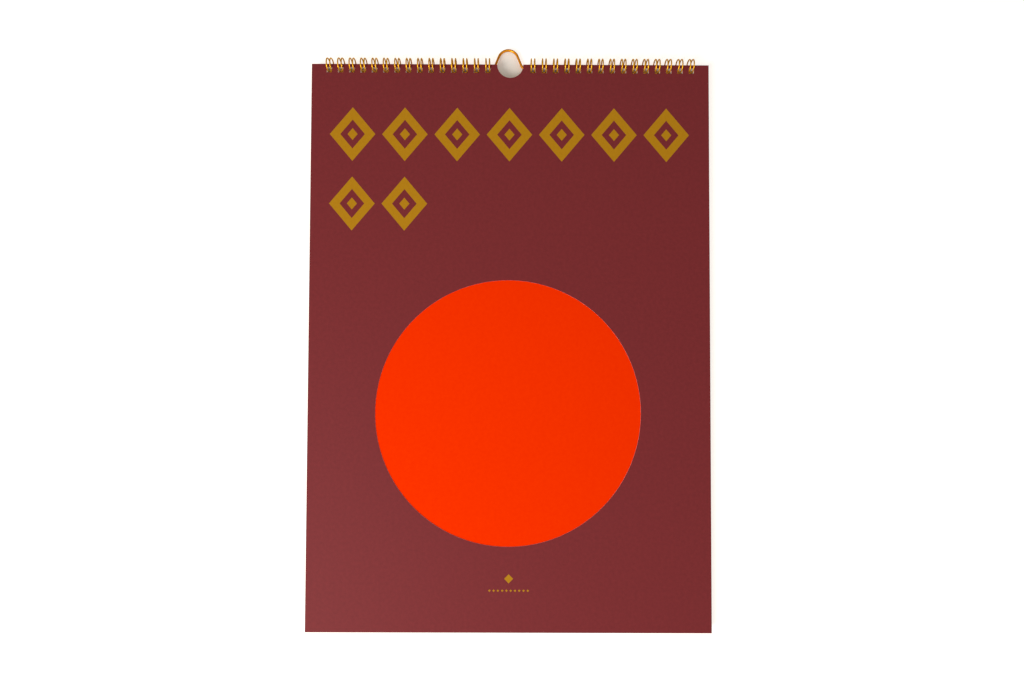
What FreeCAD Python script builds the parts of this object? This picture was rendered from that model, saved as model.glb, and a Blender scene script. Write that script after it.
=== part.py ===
import FreeCAD, Part
import math
import os
import Sketcher

# Wall calendar, A3 portrait: a front cover with a round die-cut window, a title sheet behind it,
# a block of month sheets and a back board, all punched along the top edge and bound by two runs
# of twin-loop wire, with a bent wire hanger between them.
# Frame: +Z up, +Y towards the wall, X along the binding. The origin is the inner top of the
# hanger's bail, where the nail bears.

SIZES = {
    # sheets
    "sheet_width": 297.0,
    "sheet_height": 420.0,
    "cover_thickness": 0.35,
    "title_thickness": 0.25,
    "months_thickness": 2.4,
    "board_thickness": 0.6,
    "window_diameter": 196.0,
    "window_below_top": 260.0,
    "window_off_centre": -0.9,
    "notch_radius": 9.75,
    "notch_below_top": 0.3,
    # punched holes
    "hole_size": 4.0,
    "hole_below_top": 2.4,
    "hole_pitch": 8.467,
    "holes_per_side": 15,
    "holes_left_out": 3,
    # twin-loop wire
    "loop_wire": 0.95,
    "loop_outer_diameter": 9.85,
    "loop_axis_above_sheets": 0.2,
    "twin_spacing": 2.6,
    "base_bend_radius": 1.05,
    # hanger
    "hanger_wire": 1.8,
    "hanger_arm": 60.0,
    "hanger_bend_radius": 4.8,
    "bail_radius": 7.6,
    "bail_lean_degrees": 22.0,
    "bail_above_sheets": 5.9,
    "hanger_off_centre": -1.6,
    # clearances
    "hanger_clearance": 0.1,
    "seam_clearance": 0.12,
}

# The sheets from front to back, each with the cell that holds its thickness.
SHEETS = {
    "front_cover": "cover_thickness",
    "title_sheet": "title_thickness",
    "month_sheets": "months_thickness",
    "back_board": "board_thickness",
}

doc = FreeCAD.newDocument("wall_calendar")
sheet = doc.addObject("Spreadsheet::Sheet", "sizes")
for row, (name, value) in enumerate(SIZES.items(), start=1):
    sheet.set("A%d" % row, name)
    sheet.set("B%d" % row, repr(value))
    sheet.setAlias("B%d" % row, name)
doc.recompute()


def size(name):
    return float(sheet.get(name))


# Places that follow from the sizes. Before the last move the sheets' top edge is z = 0, their
# centre is x = 0 and the cover's front face is y = 0.
stack_thickness = sum(size(cell) for cell in SHEETS.values())
loop_radius = (size("loop_outer_diameter") - size("loop_wire")) / 2
loop_axis_y = stack_thickness / 2
loop_axis_z = size("loop_axis_above_sheets")
arm_y = stack_thickness + size("hanger_clearance") + size("hanger_wire") / 2
arm_reach = (loop_radius - size("loop_wire") / 2 - size("hanger_clearance")
             - size("hanger_wire") / 2)
arm_z = loop_axis_z - math.sqrt(arm_reach ** 2 - (arm_y - loop_axis_y) ** 2)
eye_z = size("bail_above_sheets") + size("bail_radius") - size("hanger_wire") / 2
origin = FreeCAD.Vector(size("hanger_off_centre"), arm_y, eye_z)
punch_width = (size("holes_per_side") * 2 + size("holes_left_out") - 1) * size("hole_pitch")


def origin_plane(body, role):
    for feature in body.Origin.OriginFeatures:
        if feature.Role == role:
            return feature
    raise RuntimeError("no plane " + role)


def add_sketch(body, name, plane):
    sketch = body.newObject("Sketcher::SketchObject", name)
    sketch.AttachmentSupport = [(origin_plane(body, plane), "")]
    sketch.MapMode = "FlatFace"
    return sketch


def bound_rectangle(sketch, left, bottom, width, height):
    """A rectangle whose corner and sides follow expressions of the sheet's cells."""
    points = [FreeCAD.Vector(0, 0, 0), FreeCAD.Vector(10, 0, 0),
              FreeCAD.Vector(10, 10, 0), FreeCAD.Vector(0, 10, 0)]
    for index in range(4):
        sketch.addGeometry(Part.LineSegment(points[index], points[(index + 1) % 4]), False)
    for index in range(4):
        sketch.addConstraint(Sketcher.Constraint("Coincident", index, 2, (index + 1) % 4, 1))
    for index in (0, 2):
        sketch.addConstraint(Sketcher.Constraint("Horizontal", index))
        sketch.addConstraint(Sketcher.Constraint("Vertical", index + 1))
    named = {"width": ("DistanceX", 0, 1, 0, 2, 10.0), "height": ("DistanceY", 1, 1, 1, 2, 10.0)}
    for name, values in named.items():
        sketch.renameConstraint(sketch.addConstraint(Sketcher.Constraint(*values)), name)
    for name, axis in (("left", "DistanceX"), ("bottom", "DistanceY")):
        fixed = sketch.addConstraint(Sketcher.Constraint(axis, -1, 1, 0, 1, 1.0))
        sketch.renameConstraint(fixed, name)
    for name, formula in (("width", width), ("height", height), ("left", left),
                          ("bottom", bottom)):
        sketch.setExpression("Constraints." + name, formula)


def bound_circle(sketch, off_centre, below_top, radius):
    """A circle placed from the middle of the sheet's top edge."""
    circle = Part.Circle(FreeCAD.Vector(1, -1, 0), FreeCAD.Vector(0, 0, 1), 5.0)
    sketch.addGeometry(circle, False)
    across = sketch.addConstraint(Sketcher.Constraint("DistanceX", -1, 1, 0, 3, 1.0))
    sketch.renameConstraint(across, "off_centre")
    drop = sketch.addConstraint(Sketcher.Constraint("DistanceY", 0, 3, -1, 1, 1.0))
    sketch.renameConstraint(drop, "below_top")
    wide = sketch.addConstraint(Sketcher.Constraint("Radius", 0, 5.0))
    sketch.renameConstraint(wide, "radius")
    sketch.setExpression("Constraints.off_centre", off_centre)
    sketch.setExpression("Constraints.below_top", below_top)
    sketch.setExpression("Constraints.radius", radius)


def cut_through(body, sketch, name):
    pocket = body.newObject("PartDesign::Pocket", name)
    pocket.Profile = sketch
    pocket.Type = "ThroughAll"
    pocket.Midplane = True
    doc.recompute()
    return pocket


def punch_row(body, side, first_hole):
    """One run of square holes: the first is cut and then repeated along the binding."""
    sketch = add_sketch(body, side + "_hole_sketch", "XZ_Plane")
    bound_rectangle(sketch, first_hole, "-sizes.hole_below_top - sizes.hole_size",
                    "sizes.hole_size", "sizes.hole_size")
    pocket = cut_through(body, sketch, side + "_hole")
    run = body.newObject("PartDesign::LinearPattern", side + "_holes")
    run.Originals = [pocket]
    run.Direction = (origin_plane(body, "X_Axis"), [""])
    run.setExpression("Length", "sizes.hole_pitch * (sizes.holes_per_side - 1)")
    run.setExpression("Occurrences", "sizes.holes_per_side")
    body.Tip = run
    doc.recompute()


def punched_sheet(name, thickness):
    """A flat sheet with the thumb cut and both runs of holes, front face on its XZ plane."""
    body = doc.addObject("PartDesign::Body", name)
    body.Label = name
    outline = add_sketch(body, "outline", "XZ_Plane")
    bound_rectangle(outline, "-sizes.sheet_width / 2", "-sizes.sheet_height",
                    "sizes.sheet_width", "sizes.sheet_height")
    pad = body.newObject("PartDesign::Pad", "stock")
    pad.Profile = outline
    pad.Reversed = True
    pad.setExpression("Length", thickness)
    doc.recompute()
    notch = add_sketch(body, "thumb_cut_sketch", "XZ_Plane")
    bound_circle(notch, "0 mm", "sizes.notch_below_top", "sizes.notch_radius")
    cut_through(body, notch, "thumb_cut")
    first_left = "-sizes.hole_pitch * (sizes.holes_per_side + (sizes.holes_left_out - 1) / 2)"
    first_right = "sizes.hole_pitch * (sizes.holes_left_out + 1) / 2"
    punch_row(body, "left", first_left + " - sizes.hole_size / 2")
    punch_row(body, "right", first_right + " - sizes.hole_size / 2")
    return body


# The sheets lie face to face.
depth = 0.0
for name, cell in SHEETS.items():
    body = punched_sheet(name, "sizes." + cell)
    body.Placement = FreeCAD.Placement(
        FreeCAD.Vector(0, depth, 0) - origin, FreeCAD.Rotation())
    depth += size(cell)

# The round window goes through the cover alone.
cover = doc.getObject("front_cover")
window = add_sketch(cover, "window_sketch", "XZ_Plane")
bound_circle(window, "sizes.window_off_centre", "sizes.window_below_top",
             "sizes.window_diameter / 2")
cover.Tip = cut_through(cover, window, "window")


class WirePath:
    """Round wire followed along its centre line: each step adds one bent or straight face."""

    def __init__(self, start, direction, diameter):
        self.ring = Part.Circle(start, direction, diameter / 2).toShape()
        self.faces = [Part.Face(Part.Wire(self.ring))]

    def bend(self, centre, axis, degrees):
        self.faces.append(self.ring.revolve(centre, axis, degrees))
        self.ring = self.ring.copy()
        self.ring.rotate(centre, axis, degrees)

    def run(self, step):
        self.faces.append(self.ring.extrude(step))
        self.ring = self.ring.copy()
        self.ring.translate(step)

    def solid(self):
        self.faces.append(Part.Face(Part.Wire(self.ring)))
        shell = Part.Compound(self.faces)
        shell.sewShape()
        wire = Part.makeSolid(shell.Shells[0])
        if wire.Volume < 0:
            wire.reverse()
        return wire


def on_loop(x, angle):
    """The point of a loop's centre line at an angle from its lowest point towards the wall."""
    return FreeCAD.Vector(x, loop_axis_y + loop_radius * math.sin(angle),
                          loop_axis_z - loop_radius * math.cos(angle))


def along_loop(angle):
    return FreeCAD.Vector(0, math.cos(angle), math.sin(angle))


def away_from_axis(angle):
    return FreeCAD.Vector(0, math.sin(angle), -math.cos(angle))


# The closed seam of the loops lies low behind the board: the wire between two loops just clears
# the board's back, and each loop's tip stops short of the bends where the loop begins.
bend_radius = size("base_bend_radius")
tip_radius = size("twin_spacing") / 2
seam_y = stack_thickness / 2 + size("loop_wire") / 2 + size("seam_clearance")
loop_start = (math.asin(seam_y / math.hypot(loop_radius, bend_radius))
              + math.atan2(bend_radius, loop_radius))
nested = tip_radius + bend_radius + size("loop_wire") + size("seam_clearance")
tip_gap = math.sqrt(nested ** 2 - (tip_radius + bend_radius) ** 2) / loop_radius
loop_end = loop_start - tip_gap
loop_turn = math.degrees(2 * math.pi - tip_gap)


def twin_loop_wire(name, first_loop):
    """A run of double loops in one wire: up one leg, round the tip, back, along to the next."""
    count = int(size("holes_per_side"))
    half = size("twin_spacing") / 2
    pitch = size("hole_pitch")
    across = FreeCAD.Vector(1, 0, 0)
    path = WirePath(on_loop(first_loop - half, loop_start), along_loop(loop_start),
                    size("loop_wire"))
    for index in range(count):
        middle = first_loop + index * pitch
        centre = FreeCAD.Vector(middle, loop_axis_y, loop_axis_z)
        path.bend(centre, across, loop_turn)
        path.bend(on_loop(middle, loop_end), away_from_axis(loop_end), 180)
        path.bend(centre, across, -loop_turn)
        if index == count - 1:
            break
        first_bend = on_loop(middle + half + bend_radius, loop_start)
        next_bend = on_loop(middle + pitch - half - bend_radius, loop_start)
        path.bend(first_bend, away_from_axis(loop_start), -90)
        path.run(next_bend - first_bend)
        path.bend(next_bend, away_from_axis(loop_start), -90)
    wire = doc.addObject("Part::Feature", name)
    wire.Label = name
    wire.Shape = path.solid()
    wire.Placement = FreeCAD.Placement(origin.negative(), FreeCAD.Rotation())


# Each run of loops stands in its own row of holes.
twin_loop_wire("left_binding_wire", -punch_width / 2)
twin_loop_wire("right_binding_wire",
               (size("holes_left_out") + 1) / 2 * size("hole_pitch"))


def hanger():
    """A round bail on two leaning legs that bend out into straight arms, swept in one plane."""
    body = doc.addObject("PartDesign::Body", "hanger_wire")
    body.Label = "hanger_wire"
    bail = size("bail_radius")
    bend = size("hanger_bend_radius")
    lean = math.radians(size("bail_lean_degrees"))
    top_x = bail * math.cos(lean)
    top_z = size("bail_above_sheets") + bail * math.sin(lean)
    foot_z = arm_z + bend * (1 - math.sin(lean))
    foot_x = top_x + (top_z - foot_z) * math.tan(lean)
    arm_start = foot_x + bend * math.cos(lean)
    arm_end = arm_start + size("hanger_arm")
    up = FreeCAD.Vector(0, 0, 1)

    def straight(x_from, z_from, x_to, z_to):
        return Part.LineSegment(FreeCAD.Vector(x_from, z_from, 0), FreeCAD.Vector(x_to, z_to, 0))

    def arc(x, z, radius, start, end):
        return Part.ArcOfCircle(Part.Circle(FreeCAD.Vector(x, z, 0), up, radius), start, end)

    path = add_sketch(body, "path", "XZ_Plane")
    for piece in (
            straight(-arm_end, arm_z, -arm_start, arm_z),
            arc(-arm_start, arm_z + bend, bend, 1.5 * math.pi, 2 * math.pi - lean),
            straight(-foot_x, foot_z, -top_x, top_z),
            arc(0, size("bail_above_sheets"), bail, lean, math.pi - lean),
            straight(top_x, top_z, foot_x, foot_z),
            arc(arm_start, arm_z + bend, bend, math.pi + lean, 1.5 * math.pi),
            straight(arm_start, arm_z, arm_end, arm_z)):
        path.addGeometry(piece, False)
    end = add_sketch(body, "section", "YZ_Plane")
    end.AttachmentOffset = FreeCAD.Placement(
        FreeCAD.Vector(0, arm_z, -arm_end), FreeCAD.Rotation())
    end.addGeometry(Part.Circle(FreeCAD.Vector(0, 0, 0), up, 1.0), False)
    end.addConstraint(Sketcher.Constraint("Coincident", 0, 3, -1, 1))
    wide = end.addConstraint(Sketcher.Constraint("Diameter", 0, 1.0))
    end.renameConstraint(wide, "wire")
    end.setExpression("Constraints.wire", "sizes.hanger_wire")
    doc.recompute()
    pipe = body.newObject("PartDesign::AdditivePipe", "bent_wire")
    pipe.Profile = end
    pipe.Spine = (path, [])
    pipe.Mode = "Standard"
    body.Tip = pipe
    body.Placement = FreeCAD.Placement(
        FreeCAD.Vector(size("hanger_off_centre"), arm_y, 0) - origin, FreeCAD.Rotation())


hanger()
doc.recompute()

NODES = list(SHEETS) + ["left_binding_wire", "right_binding_wire", "hanger_wire"]
for item in doc.Objects:
    if "Invalid" in item.State or "Error" in item.State:
        raise RuntimeError("%s failed: %s" % (item.Name, item.State))
os.makedirs("parts", exist_ok=True)
for name in NODES:
    shape = doc.getObject(name).Shape
    if shape.isNull() or not shape.isValid() or len(shape.Solids) != 1:
        raise RuntimeError(name + " is not one valid solid")
    shape.exportStep("parts/%s.step" % name)
    box = shape.BoundBox
    print("%-20s %9.1f mm3  x %.2f..%.2f  y %.2f..%.2f  z %.2f..%.2f"
          % (name, shape.Volume, box.XMin, box.XMax, box.YMin, box.YMax, box.ZMin, box.ZMax))
print("cover turns about y %.4f z %.4f, hanger about y 0 z %.4f" % (
    loop_axis_y - origin.y, loop_axis_z - origin.z, arm_z - origin.z))
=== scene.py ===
import math
import random

import bpy
from mathutils import Matrix, Vector


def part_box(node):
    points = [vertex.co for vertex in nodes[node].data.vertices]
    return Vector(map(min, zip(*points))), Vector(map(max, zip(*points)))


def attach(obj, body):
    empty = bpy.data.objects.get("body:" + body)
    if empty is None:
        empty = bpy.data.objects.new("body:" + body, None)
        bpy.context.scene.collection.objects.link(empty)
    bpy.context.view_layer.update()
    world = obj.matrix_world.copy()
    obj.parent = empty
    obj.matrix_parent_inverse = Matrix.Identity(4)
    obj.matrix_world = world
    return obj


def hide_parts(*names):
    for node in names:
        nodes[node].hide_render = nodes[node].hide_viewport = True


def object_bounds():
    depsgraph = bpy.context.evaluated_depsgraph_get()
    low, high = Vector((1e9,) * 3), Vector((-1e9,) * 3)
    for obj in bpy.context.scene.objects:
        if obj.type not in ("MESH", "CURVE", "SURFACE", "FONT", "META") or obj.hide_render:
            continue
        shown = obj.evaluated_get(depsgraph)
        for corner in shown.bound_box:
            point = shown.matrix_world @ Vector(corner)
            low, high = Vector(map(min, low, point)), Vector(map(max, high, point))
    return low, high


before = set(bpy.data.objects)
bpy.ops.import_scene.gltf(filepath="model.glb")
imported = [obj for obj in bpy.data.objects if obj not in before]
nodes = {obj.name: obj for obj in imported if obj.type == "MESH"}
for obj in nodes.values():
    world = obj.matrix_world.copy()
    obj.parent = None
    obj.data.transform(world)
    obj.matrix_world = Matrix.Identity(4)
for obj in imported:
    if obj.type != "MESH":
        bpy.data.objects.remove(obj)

cad_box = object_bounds()
MM = 0.001

# Camera. It looks square at the front cover from close by, as a wide lens does, so the loops
# above the sheets are seen from below and lean outwards. It is rolled a little to its left.
camera_place = Vector((3.0, -364.6, -227.9)) * MM
camera_tilt_up = math.radians(1.26)
camera_turn_right = math.radians(0.08)
camera_roll_left = math.radians(0.19)
sensor_width = 36.0
picture_width = 1024
lens_in_pixels = 487.1
nearest_seen = 0.01

camera = bpy.data.cameras.new("camera")
camera.sensor_width = sensor_width
camera.lens = lens_in_pixels * sensor_width / picture_width
camera.clip_start = nearest_seen
camera_object = bpy.data.objects.new("camera", camera)
bpy.context.scene.collection.objects.link(camera_object)
aim = (Matrix.Rotation(-camera_turn_right, 4, "Z")
       @ Matrix.Rotation(math.pi / 2 + camera_tilt_up, 4, "X")
       @ Matrix.Rotation(camera_roll_left, 4, "Z"))
camera_object.matrix_world = Matrix.Translation(camera_place) @ aim
bpy.context.scene.camera = camera_object
bpy.context.scene.view_settings.view_transform = "Standard"


# Wall. A smooth wall right behind the loops, painted warm white, takes the calendar's soft shadow.
# It is over-lit to the eye, as in a bright room, except in a painted shade close round the sheets
# and the bail, drawn where the low light would throw it up the wall. Inside the bail that painted
# shade fades towards the top. The wall shows from the front only and throws no light or shadow back
# on the board.
WALL_GAP = 0.3 * MM
WALL_HALF = 3.0
WALL_WHITE = "#E6DACB"
# The dark brown painted onto the wall close behind the sheets as painted shade.
PAINTED_DEEP_SHADE = "#4A3826"
WALL_GLOW = 0.6
SHADE_SOFTNESS = 1.0 * MM
SHEETS_SHADE_RISE = 4.1 * MM
BAIL_SHADE_HEIGHT = -5.0 * MM
BAIL_SHADE_RADIUS = 7.2 * MM
BAIL_SHADE_SPREAD = 0.45
BAIL_SHADE_FOOT = -30.0 * MM
# Painted light: inside the bail's painted shade, the glow comes back between these heights towards
# the top.
FADE_FOOT = -17.0 * MM
FADE_TOP = -2.0 * MM
FADE_GLOW = 0.23


def linear(code, alpha=1.0):
    """An sRGB hex colour as the linear values that the shader takes."""
    channels = []
    for start in (1, 3, 5):
        value = int(code[start:start + 2], 16) / 255
        channels.append(value / 12.92 if value <= 0.04045 else ((value + 0.055) / 1.055) ** 2.4)
    return (*channels, alpha)


def add(tree, kind, inputs=None, **settings):
    """Adds one node with its own settings. An input is a value, a socket or a node to link."""
    made = tree.nodes.new("ShaderNode" + kind)
    for name, value in settings.items():
        setattr(made, name, value)
    for name, value in (inputs or {}).items():
        if isinstance(value, bpy.types.Node):
            value = value.outputs[0]
        if isinstance(value, bpy.types.NodeSocket):
            tree.links.new(value, made.inputs[name])
        else:
            made.inputs[name].default_value = value
    return made


def new_material(name):
    """An empty material and its node tree."""
    material = bpy.data.materials.new(name)
    material.use_nodes = True
    material.node_tree.nodes.clear()
    return material, material.node_tree


def new_object(name, vertices, faces, material):
    """A mesh object of one material, added to the scene."""
    mesh = bpy.data.meshes.new(name)
    mesh.from_pydata(vertices, [], faces)
    mesh.validate()
    mesh.materials.append(material)
    made = bpy.data.objects.new(name, mesh)
    bpy.context.scene.collection.objects.link(made)
    return made


# Each 'past' below is how far a point of the wall lies outside an outline, negative inside it.
sheet_low, sheet_high = (Vector(corner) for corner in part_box("front_cover"))
sheet_middle = (sheet_low + sheet_high) / 2
sheet_half = (sheet_high - sheet_low) / 2

wall_paint, tree = new_material("matt_emulsion_wall_paint")
place = add(tree, "SeparateXYZ", {0: add(tree, "TexCoord").outputs["Object"]})
x, z = place.outputs["X"], place.outputs["Z"]

from_middle = add(tree, "Math", {0: x, 1: sheet_middle.x}, operation="SUBTRACT")
from_middle = add(tree, "Math", {0: from_middle}, operation="ABSOLUTE")
past_side = add(tree, "Math", {0: from_middle, 1: sheet_half.x}, operation="SUBTRACT")
past_top = add(tree, "Math", {0: z, 1: sheet_high.z + SHEETS_SHADE_RISE}, operation="SUBTRACT")
past_foot = add(tree, "Math", {0: sheet_low.z, 1: z}, operation="SUBTRACT")
past_end = add(tree, "Math", {0: past_top, 1: past_foot}, operation="MAXIMUM")
past_sheets = add(tree, "Math", {0: past_side, 1: past_end}, operation="MAXIMUM")

# The bail's painted shade is a disc above this height, and below it two lines that spread like the
# legs.
height = add(tree, "Math", {0: z, 1: BAIL_SHADE_HEIGHT}, operation="SUBTRACT")
above = add(tree, "Math", {0: height, 1: 0.0}, operation="MAXIMUM")
below = add(tree, "Math", {0: height, 1: 0.0}, operation="MINIMUM")
above_squared = add(tree, "Math", {0: above, 1: above}, operation="MULTIPLY")
squared = add(tree, "Math", {0: x, 1: x, 2: above_squared}, operation="MULTIPLY_ADD")
from_crown = add(tree, "Math", {0: squared}, operation="SQRT")
past_crown = add(tree, "Math", {0: from_crown, 1: BAIL_SHADE_RADIUS}, operation="SUBTRACT")
past_bail = add(tree, "Math", {0: below, 1: BAIL_SHADE_SPREAD, 2: past_crown},
                operation="MULTIPLY_ADD")
past_shade_foot = add(tree, "Math", {0: BAIL_SHADE_FOOT, 1: z}, operation="SUBTRACT")
past_bail = add(tree, "Math", {0: past_bail, 1: past_shade_foot}, operation="MAXIMUM")

# Painted shade: close behind the sheets, which only their holes let the eye see, the paint is mixed
# towards a dark brown, standing in for the shade where little light gets in.
behind_sheets = add(tree, "MapRange", {"Value": past_sheets, "From Min": -SHEETS_SHADE_RISE,
                                       "From Max": -SHADE_SOFTNESS, "To Min": 1.0, "To Max": 0.0})
beside_bail = add(tree, "MapRange", {"Value": past_bail, "From Max": SHADE_SOFTNESS})
painted_darkness = add(tree, "Math", {0: behind_sheets, 1: beside_bail}, operation="MULTIPLY")
tone = add(tree, "Mix", {0: painted_darkness, 6: linear(WALL_WHITE), 7: linear(PAINTED_DEEP_SHADE)},
           data_type="RGBA")

# Matt emulsion paint scatters all light evenly and has no gloss. Its colour carries the painted
# shade mixed in above.
paint = add(tree, "BsdfDiffuse", {"Color": tone.outputs[2]})

# Painted shade: the camera-ray glow is taken away inside the outlines round the sheets and the
# bail, and a painted glow rises again towards the top of the bail.
past_shade = add(tree, "Math", {0: past_sheets, 1: past_bail}, operation="MINIMUM")
open_wall = add(tree, "MapRange", {"Value": past_shade, "From Min": -SHADE_SOFTNESS,
                                   "From Max": 0.0, "To Max": WALL_GLOW})
painted_shade_fade = add(tree, "MapRange", {"Value": z, "From Min": FADE_FOOT, "From Max": FADE_TOP,
                               "To Max": FADE_GLOW})
glow_level = add(tree, "Math", {0: open_wall, 1: painted_shade_fade}, operation="MAXIMUM")
seen = add(tree, "LightPath")
glow_seen = add(tree, "Math", {0: seen.outputs["Is Camera Ray"], 1: glow_level},
                operation="MULTIPLY")
glow = add(tree, "Emission", {"Strength": glow_seen})
lit = add(tree, "AddShader", {0: paint, 1: glow})
behind = add(tree, "NewGeometry")
one_sided = add(tree, "MixShader", {0: behind.outputs["Backfacing"], 1: lit,
                                    2: add(tree, "BsdfTransparent")})
add(tree, "OutputMaterial", {"Surface": one_sided})

wall_y = cad_box[1][1] + WALL_GAP
wall = new_object("wall", [(-WALL_HALF, wall_y, -WALL_HALF), (WALL_HALF, wall_y, -WALL_HALF),
                           (WALL_HALF, wall_y, WALL_HALF), (-WALL_HALF, wall_y, WALL_HALF)],
                  [(0, 1, 2, 3)], wall_paint)
wall.visible_shadow = False
wall.visible_diffuse = False


# Studio light. A white surround lights the paper evenly, and one large soft lamp low on the left
# makes that side of the cover paler. What the wires mirror is bright low on the left and dim
# overhead, as in a room lit from that side. A weaker lamp lights the back.
SURROUND_LEVEL = 0.5
MIRRORED_DIMMEST = 0.25
MIRRORED_BRIGHTEST = 1.15
AWAY_FROM_BRIGHT = (0.35, 0.0, 0.94)
BRIGHT_BEFORE = -0.35
DIM_BEYOND = 0.45

world = bpy.data.worlds.new("white_surround")
bpy.context.scene.world = world
world.use_nodes = True
tree = world.node_tree
tree.nodes.clear()
path = add(tree, "LightPath")
direction = add(tree, "TexCoord")
away = add(tree, "VectorMath", {0: direction.outputs["Generated"], 1: AWAY_FROM_BRIGHT},
           operation="DOT_PRODUCT")
mirrored = add(tree, "MapRange", {"Value": away.outputs["Value"], "From Min": BRIGHT_BEFORE,
                                  "From Max": DIM_BEYOND, "To Min": MIRRORED_BRIGHTEST,
                                  "To Max": MIRRORED_DIMMEST}, interpolation_type="SMOOTHSTEP")
seen = add(tree, "Math", {0: path.outputs["Is Camera Ray"],
                          1: path.outputs["Is Transmission Ray"]}, operation="MAXIMUM")
level = add(tree, "Mix", {0: path.outputs["Is Glossy Ray"], 2: SURROUND_LEVEL, 3: mirrored})
level = add(tree, "Mix", {0: seen, 2: level, 3: 1.0})
surround = add(tree, "Background", {"Color": linear("#FFFFFF"), "Strength": level})
add(tree, "OutputWorld", {"Surface": surround})


def soft_lamp(name, from_sheets, width, power):
    """A square softbox that faces the middle of the sheets, lengths in metres, power in watts."""
    lamp = bpy.data.lights.new(name, "AREA")
    lamp.shape = "SQUARE"
    lamp.size = width
    lamp.energy = power
    lamp_object = bpy.data.objects.new(name, lamp)
    lamp_object.location = sheet_middle + Vector(from_sheets)
    lamp_object.rotation_euler = (-Vector(from_sheets)).to_track_quat("-Z", "Y").to_euler()
    bpy.context.scene.collection.objects.link(lamp_object)


soft_lamp("left_softbox", from_sheets=(-0.62, -0.75, -0.6), width=0.45, power=8.5)
soft_lamp("back_softbox", from_sheets=(0.9, 1.3, 0.6), width=0.8, power=9.0)


# Front cover: one sheet of card printed dark red on both faces and die-cut, with a pale core
# that shows at every cut edge. It hangs on the loops by its punched holes.
COVER_RED = "#80282A"
COVER_RED_DARK = "#732325"
CARD_CORE = "#D9AFA4"

# Clumps of pulp lie a few millimetres apart and cloud a printed solid. A single fibre is about
# 0.03 mm across, so the grain is drawn ten times as coarse to show at all.
FIBRE_CLUMP = 2.4 * MM
FIBRE_GRAIN = 0.35 * MM
LEAST_PULP = 0.7
MOST_PULP = 1.3
FACE_ON = 0.7
GRAIN_STRENGTH = 0.5


def paper(name, pale, dark, core, gloss, roughness, grain_depth):
    """Offset-printed paper: the ink sinks in, so both faces are matt with a slight cloud and a
    fine tooth, and the cut edge shows the bare core."""
    material, tree = new_material(name)
    place = add(tree, "TexCoord")
    clumps = add(tree, "TexNoise", {"Vector": place.outputs["Object"], "Scale": 1 / FIBRE_CLUMP,
                                    "Detail": 3.0, "Roughness": 0.6})
    grain = add(tree, "TexNoise", {"Vector": place.outputs["Object"], "Scale": 1 / FIBRE_GRAIN,
                                   "Detail": 2.0, "Roughness": 0.6})
    pulp = add(tree, "Math", {0: clumps, 1: grain}, operation="ADD")
    cloud = add(tree, "MapRange", {"Value": pulp, "From Min": LEAST_PULP, "From Max": MOST_PULP})
    ink = add(tree, "Mix", {0: cloud, 6: linear(dark), 7: linear(pale)}, data_type="RGBA")
    facing = add(tree, "SeparateXYZ", {0: place.outputs["Normal"]})
    across = add(tree, "Math", {0: facing.outputs["Y"]}, operation="ABSOLUTE")
    printed = add(tree, "Math", {0: across, 1: FACE_ON}, operation="GREATER_THAN")
    colour = add(tree, "Mix", {0: printed, 6: linear(core), 7: ink.outputs[2]}, data_type="RGBA")
    tooth = add(tree, "Bump", {"Height": grain, "Distance": grain_depth,
                               "Strength": GRAIN_STRENGTH})
    shader = add(tree, "BsdfPrincipled", {"Base Color": colour.outputs[2],
                                          "Roughness": roughness,
                                          "Specular IOR Level": gloss,
                                          "Normal": tooth})
    add(tree, "OutputMaterial", {"Surface": shader})
    return material


def dress(node, material):
    """Gives a node of the frame its material and keeps its shape."""
    nodes[node].data.materials.clear()
    nodes[node].data.materials.append(material)


dress("front_cover", paper("offset_printed_card", COVER_RED, COVER_RED_DARK, CARD_CORE,
                           gloss=0.22, roughness=0.7, grain_depth=0.03 * MM))


# Gold print: thick mustard-gold ink laid on the cover in a frieze of lozenges, two rows ranged
# left over the window, with a small lozenge and a dotted line at the foot. Sizes are in
# millimetres, and each drop is from the cover's top edge.
INK = "#BE8608"
INK_DARK = "#B27A04"
INK_LAYER = 0.02 * MM
STROKE = 6.0
LOZENGE_WIDTH = 34.0
LOZENGE_HEIGHT = 40.4
HEART_WIDTH = 7.6
ROW_LEFT = 14.0
ROW_RIGHT = 15.0
ROWS = ((32.8, 7), (84.9, 2))
FOOT_LOZENGE_DROP = 381.0
FOOT_LOZENGE = 6.6
FOOT_LINE_DROP = 389.6
FOOT_LINE_WIDTH = 31.2
FOOT_DOTS = 10
FOOT_DOT = 1.9


def lozenge(middle, width, height):
    """The four corners of a lozenge, from its left one and on by its lowest."""
    x, z = middle
    return [(x - width / 2, z), (x, z - height / 2), (x + width / 2, z), (x, z + height / 2)]


def scaled(outline, middle, scale):
    """An outline drawn larger or smaller about its middle."""
    return [(middle[0] + (x - middle[0]) * scale, middle[1] + (z - middle[1]) * scale)
            for x, z in outline]


def ink_film(vertices, faces, outer, inner=None):
    """A closed film of ink: one outline of four corners, or the band between two of them."""
    loops = [outer] if inner is None else [outer, inner]
    first = len(vertices)
    for y in (sheet_low.y - INK_LAYER, sheet_low.y):
        for loop in loops:
            vertices.extend((x, y, z) for x, z in loop)
    back = 4 * len(loops)
    if inner is None:
        faces.append([first + i for i in range(4)])
        faces.append([first + back + 3 - i for i in range(4)])
    for i in range(4):
        j = (i + 1) % 4
        if inner is not None:
            faces.append([first + i, first + j, first + 4 + j, first + 4 + i])
            faces.append([first + back + j, first + back + i,
                          first + back + 4 + i, first + back + 4 + j])
            faces.append([first + 4 + i, first + 4 + j, first + back + 4 + j, first + back + 4 + i])
        faces.append([first + j, first + i, first + back + i, first + back + j])


def on_cover(from_left, drop):
    """A place on the cover in metres, from millimetres off its left and top edges."""
    return sheet_low.x + from_left * MM, sheet_high.z - drop * MM


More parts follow.
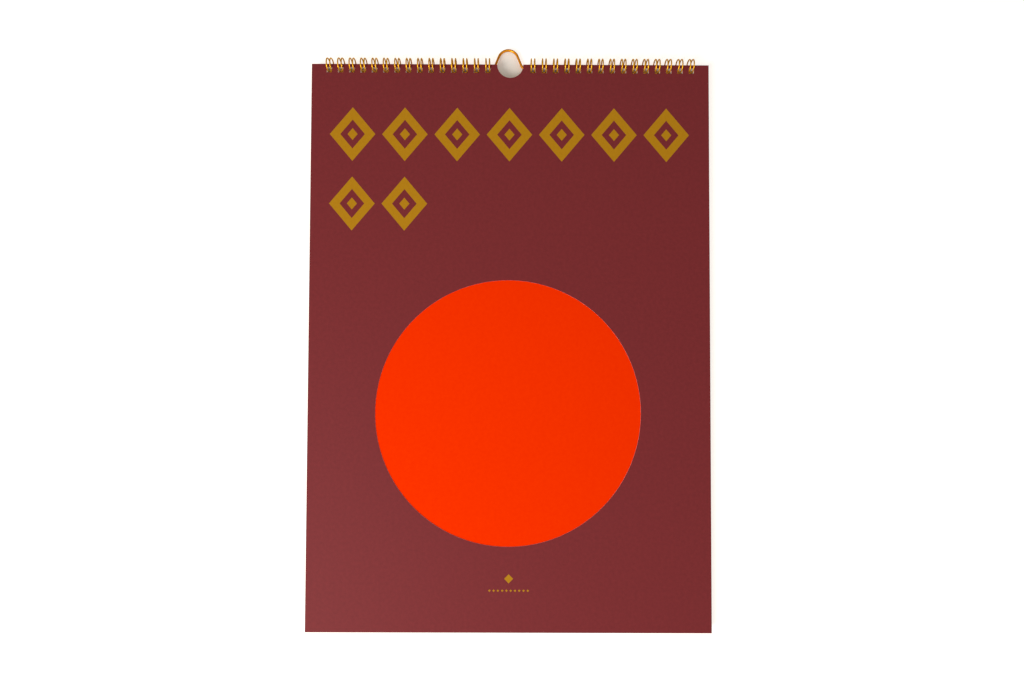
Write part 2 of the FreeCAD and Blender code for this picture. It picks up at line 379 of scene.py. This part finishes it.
vertices, faces = [], []
cover_width = (sheet_high.x - sheet_low.x) / MM
most = max(count for drop, count in ROWS)
step = (cover_width - ROW_LEFT - ROW_RIGHT - LOZENGE_WIDTH) / (most - 1)
slant = math.hypot(LOZENGE_WIDTH, LOZENGE_HEIGHT)
opening = 1 - 2 * STROKE * slant / (LOZENGE_WIDTH * LOZENGE_HEIGHT)
for drop, count in ROWS:
    for index in range(count):
        middle = on_cover(ROW_LEFT + LOZENGE_WIDTH / 2 + index * step, drop + LOZENGE_HEIGHT / 2)
        outer = lozenge(middle, LOZENGE_WIDTH * MM, LOZENGE_HEIGHT * MM)
        ink_film(vertices, faces, outer, scaled(outer, middle, opening))
        ink_film(vertices, faces, scaled(outer, middle, HEART_WIDTH / LOZENGE_WIDTH))
centre_line = cover_width / 2
ink_film(vertices, faces, lozenge(on_cover(centre_line, FOOT_LOZENGE_DROP),
                                  FOOT_LOZENGE * MM, FOOT_LOZENGE * MM))
for index in range(FOOT_DOTS):
    along = centre_line - FOOT_LINE_WIDTH / 2 + (index + 0.5) * FOOT_LINE_WIDTH / FOOT_DOTS
    ink_film(vertices, faces, lozenge(on_cover(along, FOOT_LINE_DROP), FOOT_DOT * MM,
                                      FOOT_DOT * MM))

# Screen ink is opaque and matt. Its gold comes from pigment, with no metal flake to sparkle.
gold_ink, tree = new_material("screen_printed_gold_ink")
uneven = add(tree, "TexNoise", {"Vector": add(tree, "TexCoord").outputs["Object"],
                                "Scale": 1 / FIBRE_CLUMP, "Detail": 4.0})
tone = add(tree, "Mix", {0: uneven, 6: linear(INK_DARK), 7: linear(INK)}, data_type="RGBA")
shader = add(tree, "BsdfPrincipled", {"Base Color": tone.outputs[2], "Roughness": 0.6,
                                      "Specular IOR Level": 0.15})
add(tree, "OutputMaterial", {"Surface": shader})
gold_print = new_object("gold_print", vertices, faces, gold_ink)
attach(gold_print, "cover")


# Title sheet: plain paper printed solid orange-red, the first sheet under the cover. It is cut
# and punched with the rest and shows through the cover's window.
TITLE_ORANGE = "#FF3600"
TITLE_ORANGE_DARK = "#FB3000"
TITLE_CORE = "#E9C9B6"

dress("title_sheet", paper("offset_printed_paper", TITLE_ORANGE, TITLE_ORANGE_DARK, TITLE_CORE,
                           gloss=0.0, roughness=0.8, grain_depth=0.02 * MM))


# Month sheets: twelve loose sheets of white paper on the same loops, each cut and punched alike
# but never stacked quite flush, so their edges show as fine steps.
SHEET_COUNT = 12
AIR = 0.012 * MM
MOST_JOG = 0.35 * MM
JOG_SEED = 12
MONTH_WHITE = "#F1EEE6"
MONTH_WHITE_DARK = "#ECE8DF"
MONTH_CORE = "#E4DFD3"

block = nodes["month_sheets"]
block_low, block_high = (Vector(corner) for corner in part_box("month_sheets"))
block_middle_y = (block_low.y + block_high.y) / 2
each = (block_high.y - block_low.y) / SHEET_COUNT
draw = random.Random(JOG_SEED)
vertices, faces = [], []
for index in range(SHEET_COUNT):
    first = len(vertices)
    jog = {side: draw.random() * MOST_JOG for side in ("left", "right", "top", "bottom")}
    front = block_low.y + index * each + AIR
    back = front + each - 2 * AIR
    for vertex in block.data.vertices:
        x, y, z = vertex.co
        if x < block_low.x + MOST_JOG:
            x += jog["left"]
        if x > block_high.x - MOST_JOG:
            x -= jog["right"]
        if z > block_high.z - MOST_JOG:
            z -= jog["top"]
        if z < block_low.z + MOST_JOG:
            z += jog["bottom"]
        vertices.append((x, front if y < block_middle_y else back, z))
    faces.extend([first + corner for corner in face.vertices] for face in block.data.polygons)
sheets = new_object("month_sheets_stack", vertices, faces,
                    paper("uncoated_white_paper", MONTH_WHITE, MONTH_WHITE_DARK, MONTH_CORE,
                          gloss=0.2, roughness=0.9, grain_depth=0.02 * MM))
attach(sheets, "bound_block")
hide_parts("month_sheets")


# Back board: grey-brown pulp board, stiffer than the sheets, behind them all. It is unprinted,
# so its faces have the coarsest tooth of the block.
BOARD_GREY = "#B7AC9B"
BOARD_GREY_DARK = "#A79B89"
BOARD_CORE = "#9C917F"

dress("back_board", paper("grey_pulp_board", BOARD_GREY, BOARD_GREY_DARK, BOARD_CORE,
                          gloss=0.15, roughness=0.9, grain_depth=0.06 * MM))


# Binding wires: soft steel wire formed into a comb of double loops and closed round the sheets,
# one comb each side of the thumb cut. The hanger is a thicker wire of the same kind, bent to a
# bail, with its arms trapped in the loops.
BINDING_GOLD = "#ECAC0C"
HANGER_GOLD = "#E58E04"
MIRRORING = 0.7
DRAWING_MARK = 1.1 * MM
SMOOTHEST = 0.8
ROUGHEST = 1.3


def lacquered_wire(name, colour, roughness):
    """Drawn steel under a gold lacquer: the steel mirrors the white surround and the red card as
    soft streaks, and the lacquer's pigment scatters the rest of the light, so no side of the
    wire goes dark. The marks of drawing, drawn coarse enough to show, blur the streaks."""
    material, tree = new_material(name)
    marks = add(tree, "TexNoise", {"Vector": add(tree, "TexCoord").outputs["Object"],
                                   "Scale": 1 / DRAWING_MARK, "Detail": 2.0})
    worn = add(tree, "MapRange", {"Value": marks, "To Min": roughness * SMOOTHEST,
                                  "To Max": roughness * ROUGHEST})
    shader = add(tree, "BsdfPrincipled", {"Base Color": linear(colour), "Metallic": MIRRORING,
                                          "Roughness": worn})
    add(tree, "OutputMaterial", {"Surface": shader})
    return material


binding_gold = lacquered_wire("gold_lacquered_steel_wire", BINDING_GOLD, roughness=0.3)
dress("left_binding_wire", binding_gold)
dress("right_binding_wire", binding_gold)
dress("hanger_wire", lacquered_wire("gold_lacquered_hanger_wire", HANGER_GOLD, roughness=0.25))
